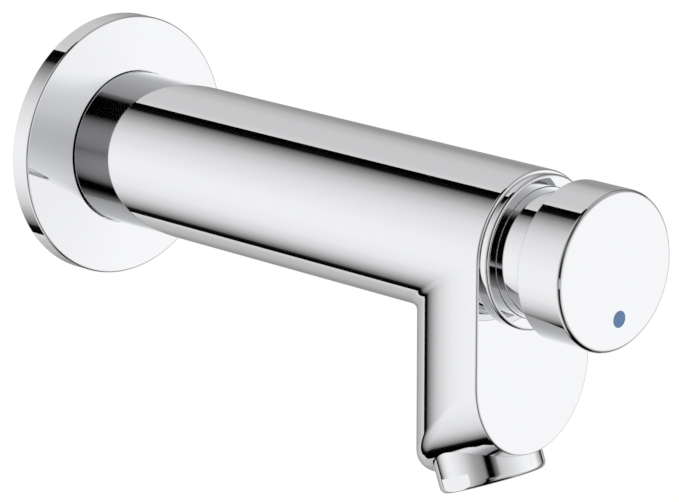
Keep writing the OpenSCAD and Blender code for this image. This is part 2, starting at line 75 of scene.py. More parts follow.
def spread(tree, value, low, high):
    """The noise value spread between two numbers."""
    made = tree.nodes.new("ShaderNodeMapRange")
    made.inputs["From Min"].default_value = 0.3
    made.inputs["From Max"].default_value = 0.7
    made.inputs["To Min"].default_value = low
    made.inputs["To Max"].default_value = high
    tree.links.new(value, made.inputs["Value"])
    return made.outputs["Result"]


def tinted(tree, value, dark, light):
    """A colour between dark and light by the noise value."""
    made = tree.nodes.new("ShaderNodeMix")
    made.data_type = "RGBA"
    made.inputs["A"].default_value = (*dark, 1)
    made.inputs["B"].default_value = (*light, 1)
    tree.links.new(spread(tree, value, 0, 1), made.inputs["Factor"])
    return made.outputs["Result"]


def bumped(tree, shader, value, strength, depth):
    """Relief of that depth in metres on the shader."""
    made = tree.nodes.new("ShaderNodeBump")
    made.inputs["Strength"].default_value = strength
    made.inputs["Distance"].default_value = depth
    tree.links.new(value, made.inputs["Height"])
    tree.links.new(made.outputs["Normal"], shader.inputs["Normal"])


brass, tree, shader, place = material("machined_brass", (0.72, 0.52, 0.22), 1, 0.28)
tree.links.new(
    tinted(tree, noise(tree, place, 160), (0.62, 0.43, 0.17), (0.78, 0.58, 0.27)),
    shader.inputs["Base Color"],
)
marks = noise(tree, place, 900, stretch=(0.05, 3, 0.05))
tree.links.new(spread(tree, marks, 0.2, 0.38), shader.inputs["Roughness"])
bumped(tree, shader, marks, 0.12, 0.00004)

steel, tree, shader, place = material("drawn_steel", (0.60, 0.61, 0.63), 1, 0.3)
marks = noise(tree, place, 1400, stretch=(1, 0.06, 1))
tree.links.new(spread(tree, marks, 0.24, 0.4), shader.inputs["Roughness"])
tree.links.new(tinted(tree, marks, (0.54, 0.55, 0.57), (0.66, 0.67, 0.69)), shader.inputs["Base Color"])
bumped(tree, shader, marks, 0.1, 0.00002)

fibre, tree, shader, place = material("red_fibre", (0.40, 0.10, 0.07), 0, 0.8)
marks = noise(tree, place, 1800, 6, (1, 0.2, 1))
tree.links.new(tinted(tree, marks, (0.30, 0.07, 0.05), (0.50, 0.15, 0.10)), shader.inputs["Base Color"])
bumped(tree, shader, marks, 0.4, 0.00008)


def coat(finish, *names):
    """Gives CAD nodes their finish."""
    for name in names:
        nodes[name].data.materials.clear()
        nodes[name].data.materials.append(finish)


def outline_of(corners):
    """Turns a closed list of (radius, station, round) corners into short straight pieces, each with
    the outward normals at its two ends. A corner marked "soft" is a point of a smooth curve."""
    count = len(corners)
    points = [Vector((c[0], c[1])) for c in corners]
    area = sum(points[i - 1].cross(points[i]) for i in range(count))
    turn = 1 if area > 0 else -1

    def normal(a, b):
        d = (b - a).normalized()
        return Vector((d.y, -d.x)) * turn

    sides = [normal(points[i], points[(i + 1) % count]) for i in range(count)]
    starts, ends, rounds = [], [], []
    for i, corner in enumerate(corners):
        before, after = sides[i - 1], sides[i]
        if corner[2] == "soft":
            middle = (before + after).normalized()
            starts.append((points[i], middle))
            ends.append((points[i], middle))
            rounds.append([])
        elif corner[2] == 0:
            starts.append((points[i], after))
            ends.append((points[i], before))
            rounds.append([])
        else:
            along_in = (points[i] - points[i - 1]).normalized()
            along_out = (points[(i + 1) % count] - points[i]).normalized()
            half = along_in.angle(along_out) / 2
            cut = corner[2] * math.tan(half)
            first, last = points[i] - along_in * cut, points[i] + along_out * cut
            sign = 1 if before.dot(along_out) < 0 else -1
            centre = first - before * corner[2] * sign
            steps = max(4, math.ceil(half / math.radians(5)))
            fan = []
            for k in range(steps + 1):
                share = k / steps
                angle = 2 * half * share
                n = (before * math.sin(2 * half - angle) + after * math.sin(angle)) / math.sin(2 * half)
                fan.append((centre + n.normalized() * corner[2] * sign, n.normalized()))
            ends.append(fan[0])
            starts.append(fan[-1])
            rounds.append(list(zip(fan, fan[1:])))
    pieces = []
    for i in range(count):
        pieces += rounds[i]
        pieces.append((starts[i], ends[(i + 1) % count]))
    return pieces


MM = 0.001


def turned(name, corners, finish, steps=160, place=None):
    """A closed turned piece from (radius, station, round) corners in millimetres, with true normals.
    place turns (radius, station, angle) into a point; without it the piece is on the tap's axis."""
    place = place or (lambda r, s, a: (r * math.cos(a), -s, r * math.sin(a)))
    origin = Vector(place(0, 0, 0))
    found, verts, faces, normals = {}, [], [], []

    def ring(p):
        key = (round(p.x, 6), round(p.y, 6))
        if key not in found:
            found[key] = []
            for k in range(steps if p.x > 1e-6 else 1):
                found[key].append(len(verts))
                verts.append(Vector(place(p.x, p.y, 2 * math.pi * k / steps)) * MM)
        return found[key]

    def spun(n, k):
        return (Vector(place(n.x, n.y, 2 * math.pi * k / steps)) - origin).normalized()

    for (p0, n0), (p1, n1) in outline_of(corners):
        if (p1 - p0).length < 1e-6 or (p0.x < 1e-6 and p1.x < 1e-6):
            continue
        low, high = ring(p0), ring(p1)
        for k in range(steps):
            m = (k + 1) % steps
            quad = [(low[k % len(low)], n0, k), (high[k % len(high)], n1, k),
                    (high[m % len(high)], n1, m), (low[m % len(low)], n0, m)]
            if len(low) == 1:
                quad = quad[:3]
            if len(high) == 1:
                quad = [quad[0], quad[1], quad[3]]
            faces.append([q[0] for q in quad])
            normals.append([spun(q[1], q[2]) for q in quad])
    for face, corner in zip(faces, normals):
        a, b, c = (verts[i] for i in face[:3])
        if (b - a).cross(c - a).dot(sum(corner, Vector())) < 0:
            face.reverse()
            corner.reverse()
    mesh = bpy.data.meshes.new(name)
    mesh.from_pydata(verts, [], faces)
    mesh.shade_smooth()
    mesh.normals_split_custom_set([n for corner in normals for n in corner])
    mesh.materials.append(finish)
    piece = bpy.data.objects.new(name, mesh)
    bpy.context.scene.collection.objects.link(piece)
    return piece


def node_tree(name, *sizes):
    """An empty Geometry Nodes tree with its named sizes and a finish as inputs."""
    made = bpy.data.node_groups.new(name, "GeometryNodeTree")
    made.interface.new_socket("Geometry", in_out="INPUT", socket_type="NodeSocketGeometry")
    for size in sizes:
        made.interface.new_socket(size, in_out="INPUT", socket_type="NodeSocketFloat")
    made.interface.new_socket("Finish", in_out="INPUT", socket_type="NodeSocketMaterial")
    made.interface.new_socket("Geometry", in_out="OUTPUT", socket_type="NodeSocketGeometry")
    return made, made.nodes.new("NodeGroupInput").outputs


def placed(tree, kind, **inputs):
    """A node of the tree with its inputs linked or set; the names have _ for a space."""
    made = tree.nodes.new(kind)
    for name, value in inputs.items():
        socket = made.inputs[name.replace("_", " ")]
        if isinstance(value, bpy.types.NodeSocket):
            tree.links.new(value, socket)
        else:
            socket.default_value = value
    return made


def sums(tree, kind, *values):
    """A math node on numbers or sockets."""
    made = tree.nodes.new("ShaderNodeMath")
    made.operation = kind
    for socket, value in zip(made.inputs, values):
        if isinstance(value, bpy.types.NodeSocket):
            tree.links.new(value, socket)
        else:
            socket.default_value = value
    return made.outputs["Value"]


def finished(tree, shape, finish):
    """Ends a tree: makes its copies real and sets their finish."""
    real = placed(tree, "GeometryNodeRealizeInstances", Geometry=shape)
    coated = placed(tree, "GeometryNodeSetMaterial", Geometry=real.outputs["Geometry"], Material=finish)
    tree.links.new(coated.outputs["Geometry"], tree.nodes.new("NodeGroupOutput").inputs["Geometry"])


def grown(piece, tree, sharp, **sizes):
    """Runs a tree on a piece and keeps the result as a plain mesh, sharp at edges above that angle."""
    made = piece.modifiers.new(tree.name, "NODES")
    made.node_group = tree
    for socket in tree.interface.items_tree:
        if socket.in_out == "INPUT" and socket.name in sizes:
            made[socket.identifier] = sizes[socket.name]
    shaped = piece.evaluated_get(bpy.context.evaluated_depsgraph_get())
    mesh = bpy.data.meshes.new_from_object(shaped)
    piece.modifiers.clear()
    piece.data = mesh
    if "custom_normal" in mesh.attributes:
        mesh.attributes.remove(mesh.attributes["custom_normal"])
    mesh.shade_smooth()
    mesh.set_sharp_from_angle(angle=math.radians(sharp))


NIPPLE_R, NIPPLE_REAR, NIPPLE_FRONT = 10.48, -22.0, 16.0
NIPPLE_BORE, NECK_R, CUP_R, CUP_DEPTH = 7.5, 9.6, 8.6, 2.0
COLLAR_R, COLLAR_REAR, COLLAR_FRONT = 12.0, 1.0, 3.0
PITCH, THREAD_DEPTH, ROWS = 1.814, 1.16, 8


def thread_rows(start, end):
    """Corners along a stretch of thread, close enough to cut its flanks."""
    count = round((end - start) / PITCH * ROWS)
    return [(NIPPLE_R, start + (end - start) * k / count, 0) for k in range(count + 1)]


def hexed(r, s, a):
    """A point of the nipple, with its collar cut to a hexagon."""
    if r > NIPPLE_R + 1:
        r /= math.cos((a + math.pi / 6) % (math.pi / 3) - math.pi / 6)
    return r * math.cos(a), -s, r * math.sin(a)


nipple = turned(
    "nipple_threaded",
    [(NIPPLE_BORE, NIPPLE_REAR, 0), (NIPPLE_R - 1, NIPPLE_REAR, 0),
     *thread_rows(NIPPLE_REAR + 1, COLLAR_REAR - 0.2), (NECK_R, COLLAR_REAR, 0), (COLLAR_R, COLLAR_REAR, 0),
     (COLLAR_R, COLLAR_FRONT, 0), (NECK_R, COLLAR_FRONT, 0), *thread_rows(COLLAR_FRONT + 0.2, NIPPLE_FRONT),
     (CUP_R, NIPPLE_FRONT, 0), (CUP_R, NIPPLE_FRONT - CUP_DEPTH, 0),
     (NIPPLE_BORE, NIPPLE_FRONT - CUP_DEPTH, 0)],
    brass, 96, hexed)
tree, given = node_tree("screw_thread", "Crest", "Pitch", "Depth")
point = tree.nodes.new("GeometryNodeInputPosition").outputs["Position"]
axis = placed(tree, "ShaderNodeSeparateXYZ", Vector=point)
x, y, z = (axis.outputs[name] for name in "XYZ")
radius = sums(tree, "SQRT", sums(tree, "MULTIPLY_ADD", x, x, sums(tree, "MULTIPLY", z, z)))
turn = sums(tree, "DIVIDE", sums(tree, "ARCTAN2", z, x), 2 * math.pi)
phase = sums(tree, "FRACT", sums(tree, "SUBTRACT", turn, sums(tree, "DIVIDE", y, given["Pitch"])))
flank = sums(tree, "ABSOLUTE", sums(tree, "MULTIPLY_ADD", phase, 2.0, -1.0))
on_thread = sums(tree, "COMPARE", radius, given["Crest"], 0.00002)
cut = sums(tree, "MULTIPLY", sums(tree, "MULTIPLY", flank, given["Depth"]), on_thread)
left_over = sums(tree, "SUBTRACT", 1.0, sums(tree, "DIVIDE", cut, radius))
moved = placed(tree, "ShaderNodeCombineXYZ", X=sums(tree, "MULTIPLY", x, left_over), Y=y,
               Z=sums(tree, "MULTIPLY", z, left_over))
threaded = placed(tree, "GeometryNodeSetPosition", Geometry=given["Geometry"],
                  Position=moved.outputs["Vector"])
finished(tree, threaded.outputs["Geometry"], given["Finish"])
grown(nipple, tree, 35, Crest=NIPPLE_R * MM, Pitch=PITCH * MM, Depth=THREAD_DEPTH * MM, Finish=brass)
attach(nipple, "tap_body")
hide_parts("inlet_nipple")
coat(fibre, "inlet_washer")
coat(steel, "inlet_strainer")


# The wall rosette is a shallow dish of polished brass that slides on the tube and hides the hole in the
# wall. A sealing ring in its collar holds it, and a foam ring behind its rim beds on the wall. Its chrome,
# the finish of every visible piece, is a clear mirror with the faint haze that hand polishing leaves.
chrome, tree, shader, place = material("polished_chrome", (0.92, 0.925, 0.94), 1, 0.03)
tree.links.new(spread(tree, noise(tree, place, 90, 4), 0.02, 0.045), shader.inputs["Roughness"])

ROSETTE_R, RIM_S, WALL_R, FOAM_R, UNDER_S = 36.2, 5.8, 34.2, 31.2, 3.8
SLIDE_R, DISH_S, SLIDE_CHAMFER = 21.15, 7.77, 0.3
HOLD_R, HOLD_S, GROOVE_R, GROOVE_REAR, GROOVE_FRONT = 24.15, 5.7, 22.73, 4.3, 6.4
rosette = turned(
    "rosette_shell",
    [(WALL_R, 0, 0), (ROSETTE_R, 0, 0.2), (ROSETTE_R, RIM_S, 0.7), (SLIDE_R + SLIDE_CHAMFER, DISH_S, 0.1),
     (SLIDE_R, DISH_S - SLIDE_CHAMFER, 0), (SLIDE_R, GROOVE_FRONT, 0), (GROOVE_R, GROOVE_FRONT, 0),
     (GROOVE_R, GROOVE_REAR, 0), (SLIDE_R, GROOVE_REAR, 0), (SLIDE_R, UNDER_S, 0), (HOLD_R, UNDER_S, 0),
     (HOLD_R, HOLD_S, 0), (FOAM_R, UNDER_S, 0), (WALL_R, UNDER_S, 0)],
    chrome, 220)
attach(rosette, "rosette")
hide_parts("wall_rosette")

rubber, tree, shader, place = material("black_rubber", (0.03, 0.03, 0.032), 0, 0.55)
marks = noise(tree, place, 2500, 5)
tree.links.new(tinted(tree, marks, (0.022, 0.022, 0.024), (0.045, 0.045, 0.048)), shader.inputs["Base Color"])
tree.links.new(spread(tree, marks, 0.45, 0.65), shader.inputs["Roughness"])
bumped(tree, shader, marks, 0.2, 0.00003)
foam, tree, shader, place = material("black_foam", (0.06, 0.06, 0.065), 0, 0.9)
cells = tree.nodes.new("ShaderNodeTexVoronoi")
cells.inputs["Scale"].default_value = 2600
tree.links.new(place, cells.inputs["Vector"])
marks = cells.outputs["Distance"]
tree.links.new(tinted(tree, marks, (0.03, 0.03, 0.033), (0.09, 0.09, 0.095)), shader.inputs["Base Color"])
bumped(tree, shader, marks, 0.6, 0.0002)
coat(rubber, "rosette_o_ring")
coat(foam, "wall_gasket")


# The body is one brass casting, ground and chromed: a horizontal tube that runs into a spout column.
# The column's plan is tangent to the flat front face, its underside is a half round that slants back,
# and its edges and the inside corner under the tube are rolled over by polishing.
TUBE_R, FACE_S, TUBE_REAR = 21.0, 160.4, 4.0
COLUMN_DEPTH, COLUMN_POWER = 33.6, 2.4
SPOUT_DROP, TILT = 53.6, math.radians(22)
EDGE_ROLL, CORNER_ROLL, FACE_ROLL = 4.5, 3.0, 0.7
UNDER_Z = SPOUT_DROP - TUBE_R / math.cos(TILT)


def rolled(a, na, b, nb, roll):
    """Meets two surfaces, given by depth and normal, in an edge that is rolled to that radius."""
    c = np.clip((na * nb).sum(0), -0.999, 0.9999)
    a, b = a + roll, b + roll
    part_a, part_b = a - c * b, b - c * a
    edge = (part_a > 0) & (part_b > 0)
    reach = np.sqrt(np.maximum(a * a + b * b - 2 * c * a * b, 1e-12) / (1 - c * c))
    depth = np.where(edge, reach, np.maximum(a, b)) - roll
    normal = np.where(edge, (part_a * na + part_b * nb) / ((1 - c * c) * reach), np.where(a > b, na, nb))
    return depth, normal


def body_depth(x, s, z):
    """How far a point is outside the body's skin, in millimetres."""
    zero = np.zeros_like(x)
    d = FACE_S - s
    side = np.where(x < 0, -1.0, 1.0)
    across, behind = np.abs(x) / TUBE_R, np.maximum(d, 0) / COLUMN_DEPTH
    full = np.maximum((across**COLUMN_POWER + behind**COLUMN_POWER) ** (1 / COLUMN_POWER), 1e-6)
    plan_x = side * (across / full) ** (COLUMN_POWER - 1) / TUBE_R
    plan_s = -((behind / full) ** (COLUMN_POWER - 1)) / COLUMN_DEPTH
    steep = np.hypot(plan_x, plan_s)
    plan = (full - 1) / steep
    plan_n = np.stack([plan_x / steep, plan_s / steep, zero])
    low = -d * math.sin(TILT) - (z + UNDER_Z) * math.cos(TILT)
    r_low = np.maximum(np.hypot(x, low), 1e-9)
    under = np.where(low > 0, r_low - TUBE_R, np.abs(x) - TUBE_R)
    down = np.where(low > 0, low / r_low, 0.0)
    under_n = np.stack([np.where(low > 0, x / r_low, side), down * math.sin(TILT), -down * math.cos(TILT)])
    column, column_n = rolled(plan, plan_n, under, under_n, EDGE_ROLL)
    r_tube = np.maximum(np.hypot(x, z), 1e-9)
    tube_n = np.stack([x / r_tube, zero, z / r_tube])
    joined = -rolled(TUBE_R - r_tube, -tube_n, -column, -column_n, CORNER_ROLL)[0]
    return np.where(z < 0, joined, r_tube - TUBE_R)


def body_normal(p):
    """Outward unit normals of the body's skin at points (x, s, z)."""
    h = 1e-3
    grad = np.stack([
        body_depth(*(p + np.eye(3)[k] * h).T) - body_depth(*(p - np.eye(3)[k] * h).T) for k in range(3)
    ], 1)
    return grad / np.linalg.norm(grad, axis=1, keepdims=True)


def skin(low, high, step):
    """The body's skin inside a box, as points, the layer of each along the tube, and squares: one point
    for each small cube that the skin crosses, and one square for each cube edge that it crosses."""
    axes = [np.arange(low[k], high[k] + step / 2, step) for k in range(3)]
    depth = body_depth(*np.meshgrid(*axes, indexing="ij"))
    inside = depth < 0
    cubes = np.array(depth.shape) - 1
    total, count = np.zeros((*cubes, 3)), np.zeros(cubes)
    crossings = []
    for k in range(3):
        first = [slice(None)] * 3
        last = [slice(None)] * 3
        first[k], last[k] = slice(0, -1), slice(1, None)
        d0, d1 = depth[tuple(first)], depth[tuple(last)]
        hit = np.argwhere(inside[tuple(first)] != inside[tuple(last)])
        here = tuple(hit.T)
        point = hit.astype(float)
        point[:, k] += d0[here] / (d0[here] - d1[here])
        i, j = [m for m in range(3) if m != k]
        around = []
        for di, dj in ((0, 0), (-1, 0), (-1, -1), (0, -1)):
            cube = hit.copy()
            cube[:, i] += di
            cube[:, j] += dj
            ok = np.all((cube >= 0) & (cube < cubes), axis=1)
            np.add.at(total, tuple(cube[ok].T), point[ok])
            np.add.at(count, tuple(cube[ok].T), 1)
            around.append(np.where(ok[:, None], cube, -1))
        crossings.append(np.stack(around, 1))
    used = np.argwhere(count > 0)
    index = np.full(cubes, -1)
    index[tuple(used.T)] = np.arange(len(used))
    points = total[tuple(used.T)] / count[tuple(used.T)][:, None] * step + np.array([a[0] for a in axes])
    squares = []
    for around in crossings:
        whole = np.all(around >= 0, axis=(1, 2))
        squares.append(index[tuple(np.moveaxis(around[whole], 2, 0))])
    return points, used[:, 1], np.concatenate(squares)


# The skin is found in thin layers from the tube's plain part to just behind the front face. Its first and
# last layers are drawn flat, then the tube is pulled back to the wall and the front edge is rounded over.
SKIN_REAR, LAYERS = 112.0, 60
SKIN_SIDE, SKIN_LOW = 24.2, -70.2
skin_front = FACE_S - FACE_ROLL
step = (skin_front - SKIN_REAR) / LAYERS
points, layer, squares = skin(
    (-SKIN_SIDE, SKIN_REAR - 2.5 * step, SKIN_LOW), (SKIN_SIDE, skin_front + 3 * step, SKIN_SIDE), step)
first, last = 2, 2 + LAYERS
squares = squares[np.all((layer[squares] >= first) & (layer[squares] <= last), axis=1)]
points[layer == first, 1] = SKIN_REAR
points[layer == last, 1] = skin_front
within = (layer > first) & (layer < last)
for _ in range(6):
    move = body_normal(points)
    move[~within, 1] = 0
    move /= (move**2).sum(1, keepdims=True)
    points -= body_depth(*points.T)[:, None] * move
body = bmesh.new()
made = [body.verts.new((x * MM, -s * MM, z * MM)) for x, s, z in points]
for square in squares:
    body.faces.new([made[i] for i in square])
bmesh.ops.delete(body, geom=[v for v in body.verts if not v.link_faces], context="VERTS")


def rim(s):
    """The edges of the open rim at that station."""
    return [e for e in body.edges if e.is_boundary and all(abs(v.co.y + s * MM) < 1e-6 for v in e.verts)]


def pulled(edges):
    """Pulls new edges and points out of a rim."""
    out = bmesh.ops.extrude_edge_only(body, edges=edges)["geom"]
    new_edges = [g for g in out if isinstance(g, bmesh.types.BMEdge)]
    return new_edges, [g for g in out if isinstance(g, bmesh.types.BMVert)]


edges, ends = pulled(rim(SKIN_REAR))
for v in ends:
    v.co.y = -TUBE_REAR * MM
bmesh.ops.edgeloop_fill(body, edges=edges)
edges = rim(skin_front)
ROLL_STEPS = 5
for k in range(1, ROLL_STEPS + 1):
    edges, ends = pulled(edges)
    was, now = math.pi / 2 * (k - 1) / ROLL_STEPS, math.pi / 2 * k / ROLL_STEPS
    inward = body_normal(np.array([(v.co.x / MM, skin_front, v.co.z / MM) for v in ends]))
    for v, (nx, _, nz) in zip(ends, inward):
        v.co.x -= nx * FACE_ROLL * (math.cos(was) - math.cos(now)) * MM
        v.co.z -= nz * FACE_ROLL * (math.cos(was) - math.cos(now)) * MM
        v.co.y = -(skin_front + FACE_ROLL * math.sin(now)) * MM
bmesh.ops.edgeloop_fill(body, edges=edges)
bmesh.ops.recalc_face_normals(body, faces=body.faces[:])
mesh = bpy.data.meshes.new("tap_body_shell")
body.to_mesh(mesh)
body.free()
tap_body = bpy.data.objects.new("tap_body_shell", mesh)
bpy.context.scene.collection.objects.link(tap_body)

# Its bores: the stepped bore for nipple and cartridge, and the outlet's socket with its duct.
AER_BACK, AER_OUT, AER_SEAT, AER_THREAD = 15.0, 4.8, 7.6, 8.0
AER_SHOULDER = AER_OUT + AER_SEAT
AER_TOP = AER_SHOULDER + AER_THREAD
AER_S = FACE_S - AER_BACK + AER_OUT * math.sin(TILT)
AER_Z = SPOUT_DROP + AER_BACK * math.tan(TILT) + AER_OUT * math.cos(TILT)


def outlet(r, h, a, shift=0.0):
    """A point of the outlet: radius, height above the aerator's rim and angle."""
    x, y = r * math.cos(a), r * math.sin(a) + shift
    along = y * math.cos(TILT) + h * math.sin(TILT)
    rise = h * math.cos(TILT) - y * math.sin(TILT)
    return x, along - AER_S, rise - AER_Z


CHAMBER_R, CHAMBER_REAR = 17.0, 22.0
WEB_R, WEB_REAR, WEB_FRONT = 14.44, 98.0, 104.0
RING_SOCKET_R, RING_SOCKET_REAR = 18.84, 135.5
NIPPLE_HOLE, OUTLET_R, OUTLET_THREAD_R = 10.52, 14.5, 12.04
DUCT_S, DUCT_R, BARREL_R = 130.95, 3.2, 14.4
PAST_TUBE_REAR, PAST_FACE, PAST_OUTLET = 3.0, 162.0, -14.0
DUCT_BACK = (AER_S - (AER_Z - TUBE_R) * math.tan(TILT) - DUCT_S) * math.cos(TILT)
DUCT_TOP = (AER_Z - BARREL_R) / math.cos(TILT)
bores = [
    turned(
        "main_bore",
        [(0, PAST_TUBE_REAR, 0), (NIPPLE_HOLE, PAST_TUBE_REAR, 0), (NIPPLE_HOLE, CHAMBER_REAR, 0),
         (CHAMBER_R, CHAMBER_REAR, 0), (CHAMBER_R, WEB_REAR, 0), (WEB_R, WEB_REAR, 0), (WEB_R, WEB_FRONT, 0),
         (CHAMBER_R, WEB_FRONT, 0), (CHAMBER_R, RING_SOCKET_REAR, 0), (RING_SOCKET_R, RING_SOCKET_REAR, 0),
         (RING_SOCKET_R, PAST_FACE, 0), (0, PAST_FACE, 0)],
        chrome, 128),
    turned(
        "outlet_bore",
        [(0, PAST_OUTLET, 0), (OUTLET_R, PAST_OUTLET, 0), (OUTLET_R, AER_SHOULDER, 0),
         (OUTLET_THREAD_R, AER_SHOULDER, 0), (OUTLET_THREAD_R, AER_TOP + 1, 0), (0, AER_TOP + 1, 0)],
        chrome, 128, outlet),
    turned(
        "duct",
        [(0, AER_TOP, 0), (DUCT_R, AER_TOP, 0), (DUCT_R, DUCT_TOP, 0), (0, DUCT_TOP, 0)],
        chrome, 48, lambda r, h, a: outlet(r, h, a, DUCT_BACK)),
]


def carved(piece, cutters):
    """Cuts solids out of a piece and removes them."""
    for cutter in cutters:
        cut = piece.modifiers.new(cutter.name, "BOOLEAN")
        cut.operation, cut.solver, cut.object = "DIFFERENCE", "EXACT", cutter
    shaped = piece.evaluated_get(bpy.context.evaluated_depsgraph_get())
    mesh = bpy.data.meshes.new_from_object(shaped)
    piece.modifiers.clear()
    piece.data = mesh
    for cutter in cutters:
        bpy.data.objects.remove(cutter)


carved(tap_body, bores)


def true_normals(mesh, guess, least=0.85):
    """Gives each face corner the surface's true normal where guess(points) has one near the face's own."""
    count = len(mesh.loops)
    corner = np.zeros(count, np.int32)
    mesh.loops.foreach_get("vertex_index", corner)
    sizes = np.zeros(len(mesh.polygons), np.int32)
    mesh.polygons.foreach_get("loop_total", sizes)
    flat = np.zeros(len(mesh.polygons) * 3)
    mesh.polygons.foreach_get("normal", flat)
    flat = np.repeat(flat.reshape(-1, 3), sizes, axis=0)
    place = np.zeros(len(mesh.vertices) * 3)
    mesh.vertices.foreach_get("co", place)
    true = guess(place.reshape(-1, 3))[corner]
    near = (true * flat).sum(1, keepdims=True) > least
    mesh.shade_smooth()
    mesh.normals_split_custom_set(np.where(near, true, flat).tolist())


def body_guess(place):
    """Normals of the casting's skin, turned to the front where its front edge is rounded over."""
    p = np.stack([place[:, 0], -place[:, 1], place[:, 2]], 1) / MM
    rise = np.clip((p[:, 1] - skin_front) / FACE_ROLL, 0, 1)
    p[:, 1] = np.minimum(p[:, 1], skin_front)
    n = body_normal(p)
    n = np.stack([n[:, 0], -n[:, 1], n[:, 2]], 1)
    n *= np.sqrt(1 - rise**2)[:, None]
    n[:, 1] -= rise
    return n / np.linalg.norm(n, axis=1, keepdims=True)


tap_body.data.materials.clear()
tap_body.data.materials.append(chrome)
true_normals(tap_body.data, body_guess)
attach(tap_body, "tap_body")
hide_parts("body_casting")


# The timing cartridge sits in the tube: a grey plastic barrel with a brass seat, white acetal guides and
# plug, rubber seals, a brass timing screw and the steel spindle that the button pushes.
acetal, tree, shader, place = material("white_acetal", (0.80, 0.80, 0.76), 0, 0.4)
marks = noise(tree, place, 700, 4)
tree.links.new(tinted(tree, marks, (0.74, 0.74, 0.70), (0.84, 0.84, 0.80)), shader.inputs["Base Color"])
tree.links.new(spread(tree, marks, 0.34, 0.46), shader.inputs["Roughness"])
bumped(tree, shader, marks, 0.1, 0.00002)
grey, tree, shader, place = material("grey_acetal", (0.12, 0.125, 0.135), 0, 0.45)
marks = noise(tree, place, 800, 4)
tree.links.new(tinted(tree, marks, (0.10, 0.105, 0.115), (0.15, 0.155, 0.165)), shader.inputs["Base Color"])
tree.links.new(spread(tree, marks, 0.38, 0.52), shader.inputs["Roughness"])
bumped(tree, shader, marks, 0.12, 0.00002)
coat(grey, "cartridge_barrel", "flow_regulator")
coat(acetal, "spindle_guide", "barrel_plug", "piston", "sleeve_guide_ring", "button_hub", "aerator_insert")
coat(rubber, "flange_gasket", "barrel_o_ring", "seat_o_ring", "guide_lip_seal", "plug_o_ring", "piston_seal",
     "valve_washer", "aerator_gasket")
coat(brass, "valve_seat", "valve_disc", "timing_screw")
coat(steel, "plug_circlip", "spindle", "spindle_nut", "piston_clip", "valve_nut")


# The return spring is a coil of round stainless wire between the barrel's partition and the piston.
# It is squeezed to half its length when the button is pushed home.
SPRING_REAR, SPRING_LENGTH, SPRING_R, WIRE_R, TURNS = 114.7, 14.6, 8.4, 0.6, 4.5
spring = bpy.data.objects.new("return_spring_coil", bpy.data.meshes.new("return_spring_coil"))
bpy.context.scene.collection.objects.link(spring)
tree, given = node_tree("coil", "Radius", "Wire", "Turns", "Length", "Rear")
path = placed(tree, "GeometryNodeCurveSpiral", Resolution=40, Rotations=given["Turns"],
              Start_Radius=given["Radius"], End_Radius=given["Radius"], Height=given["Length"])
section = placed(tree, "GeometryNodeCurvePrimitiveCircle", Resolution=12, Radius=given["Wire"])
wire = placed(tree, "GeometryNodeCurveToMesh", Curve=path.outputs["Curve"],
              Profile_Curve=section.outputs["Curve"], Fill_Caps=True)
rear = placed(tree, "ShaderNodeCombineXYZ", Y=sums(tree, "MULTIPLY", given["Rear"], -1.0))
coil = placed(tree, "GeometryNodeTransform", Geometry=wire.outputs["Mesh"], Rotation=(math.pi / 2, 0, 0),
              Translation=rear.outputs["Vector"])
finished(tree, coil.outputs["Geometry"], given["Finish"])
grown(spring, tree, 50, Radius=SPRING_R * MM, Wire=WIRE_R * MM, Turns=TURNS, Length=SPRING_LENGTH * MM,
      Rear=SPRING_REAR * MM, Finish=steel)
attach(spring, "tap_body")
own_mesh(spring)
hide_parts("return_spring")


# The front ring is turned from brass and chromed. Its shank screws into the tube and holds the cartridge,
# its rim covers the tube's end, and a groove in its bore holds the guide ring of the button's sleeve.
RING_R, RING_BORE, SHANK_R, RING_REAR, RING_FRONT = 20.2, 17.02, 18.8, 140.0, 162.9
GUIDE_R, GUIDE_REAR, GUIDE_FRONT = 17.82, 152.4, 156.4
front_ring = turned(
    "front_ring_turned",
    [(RING_BORE, RING_REAR, 0), (SHANK_R, RING_REAR, 0.3), (SHANK_R, FACE_S, 0), (RING_R, FACE_S, 0),
     (RING_R, RING_FRONT, 1), (RING_BORE, RING_FRONT, 0.12), (RING_BORE, GUIDE_FRONT, 0),
     (GUIDE_R, GUIDE_FRONT, 0), (GUIDE_R, GUIDE_REAR, 0), (RING_BORE, GUIDE_REAR, 0)],
    chrome, 200)
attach(front_ring, "tap_body")
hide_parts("front_ring")


# The push button is a chromed brass cap, pressed over the flange of a chromed sleeve that slides in the
# front ring. A white hub inside the sleeve carries the spindle, and a spot of blue enamel on the cap marks
# cold water.
SLEEVE_R, SLEEVE_BORE, SLEEVE_REAR = 16.95, 15.45, 151.7
FLANGE_R, FLANGE_REAR, LIP_R, LIP_REAR, LIP_FRONT = 18.96, 183.2, 13.0, 179.6, 181.6
CAP_R, CAP_BORE, CAP_REAR, CAP_INNER, BUTTON_S, CAP_CHAMFER = 20.8, 19.0, 173.7, 185.6, 187.8, 0.8
sleeve = turned(
    "button_sleeve_turned",
    [(SLEEVE_BORE, SLEEVE_REAR, 0), (SLEEVE_R, SLEEVE_REAR, 0.2), (SLEEVE_R, FLANGE_REAR, 0),
     (FLANGE_R, FLANGE_REAR, 0), (FLANGE_R, CAP_INNER, 0), (SLEEVE_BORE, CAP_INNER, 0),
     (SLEEVE_BORE, LIP_FRONT, 0), (LIP_R, LIP_FRONT, 0), (LIP_R, LIP_REAR, 0), (SLEEVE_BORE, LIP_REAR, 0)],
    chrome, 200)
